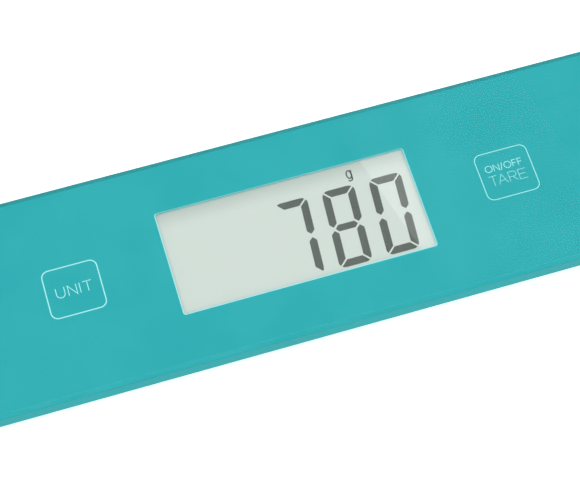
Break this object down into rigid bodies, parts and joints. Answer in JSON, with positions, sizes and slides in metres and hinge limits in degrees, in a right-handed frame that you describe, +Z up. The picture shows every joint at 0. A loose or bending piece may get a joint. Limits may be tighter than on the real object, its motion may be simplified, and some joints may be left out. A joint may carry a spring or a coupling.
{
  "type": "kitchen scale",
  "caption": "Slim bar-shaped glass-topped kitchen scale with a large segment display, outlined touch keys and four rubber feet.",
  "frame": {"origin": "on the surface that the feet stand on, under the centre of the platform", "axes": "+X along the bar to the user's right, +Y to the rear, +Z up"},
  "size_m": [0.23, 0.062, 0.014],
  "materials": {
    "platform_glass": "clear tempered glass, polished, ground edges",
    "backing_print": "turquoise screen-printed film seen through the glass",
    "foam_tape": "thin black foam tape",
    "body_plastic": "satin turquoise moulded plastic",
    "lcd_glass": "clear cell glass",
    "lcd_polarizer": "pale grey-green polarizing film",
    "lcd_reflector": "pale grey-green diffusing reflector film",
    "white_plastic": "white moulded plastic",
    "connector_rubber": "striped conductive elastomer",
    "circuit_board": "green solder mask",
    "black_epoxy": "black epoxy",
    "plated_steel": "bright nickel or zinc plate",
    "gauge_potting": "white silicone potting",
    "white_insulation": "soft white cable jacket",
    "red_insulation": "red wire insulation",
    "black_insulation": "black wire insulation",
    "foot_plastic": "pale grey moulded plastic",
    "foot_rubber": "grey non-slip rubber"
  },
  "bodies": {
    "root": {"glass_platform": "platform_glass", "printed_backing": "backing_print", "bonding_tape": "foam_tape", "bottom_shell": "body_plastic", "lcd_glass_front": "lcd_glass", "lcd_glass_rear": "lcd_glass", "lcd_polarizer": "lcd_polarizer", "lcd_reflector": "lcd_reflector", "lcd_frame": "white_plastic", "zebra_strip": "connector_rubber", "main_board": "circuit_board", "controller_chip": "black_epoxy", "adc_chip": "black_epoxy", "crystal_can": "plated_steel", "board_screw_front_left": "plated_steel", "board_screw_front_right": "plated_steel", "board_screw_rear_left": "plated_steel", "board_screw_rear_right": "plated_steel", "touch_board_unit": "circuit_board", "touch_chip_unit": "black_epoxy", "touch_lead_unit": "white_insulation", "touch_board_power": "circuit_board", "touch_chip_power": "black_epoxy", "touch_lead_power": "white_insulation", "battery_cell": "plated_steel", "battery_contact_negative": "plated_steel", "battery_contact_positive": "plated_steel", "battery_lead_red": "red_insulation", "battery_lead_black": "black_insulation", "load_cell_front_left": "plated_steel", "strain_gauge_front_left": "gauge_potting", "cell_cable_front_left": "white_insulation", "foot_cup_front_left": "foot_plastic", "foot_pad_front_left": "foot_rubber", "foot_retainer_front_left": "plated_steel", "load_cell_front_right": "plated_steel", "strain_gauge_front_right": "gauge_potting", "cell_cable_front_right": "white_insulation", "foot_cup_front_right": "foot_plastic", "foot_pad_front_right": "foot_rubber", "foot_retainer_front_right": "plated_steel", "load_cell_rear_left": "plated_steel", "strain_gauge_rear_left": "gauge_potting", "cell_cable_rear_left": "white_insulation", "foot_cup_rear_left": "foot_plastic", "foot_pad_rear_left": "foot_rubber", "foot_retainer_rear_left": "plated_steel", "load_cell_rear_right": "plated_steel", "strain_gauge_rear_right": "gauge_potting", "cell_cable_rear_right": "white_insulation", "foot_cup_rear_right": "foot_plastic", "foot_pad_rear_right": "foot_rubber", "foot_retainer_rear_right": "plated_steel"},
    "battery_door": {"battery_door": "body_plastic"}
  },
  "joints": [
    {"name": "battery_door_hinge", "type": "hinge", "parent": "root", "child": "battery_door", "pos_m": [0.0606, 0, 0.0036], "axis": [0, 1, 0], "range_deg": [0, 90]}
  ]
}
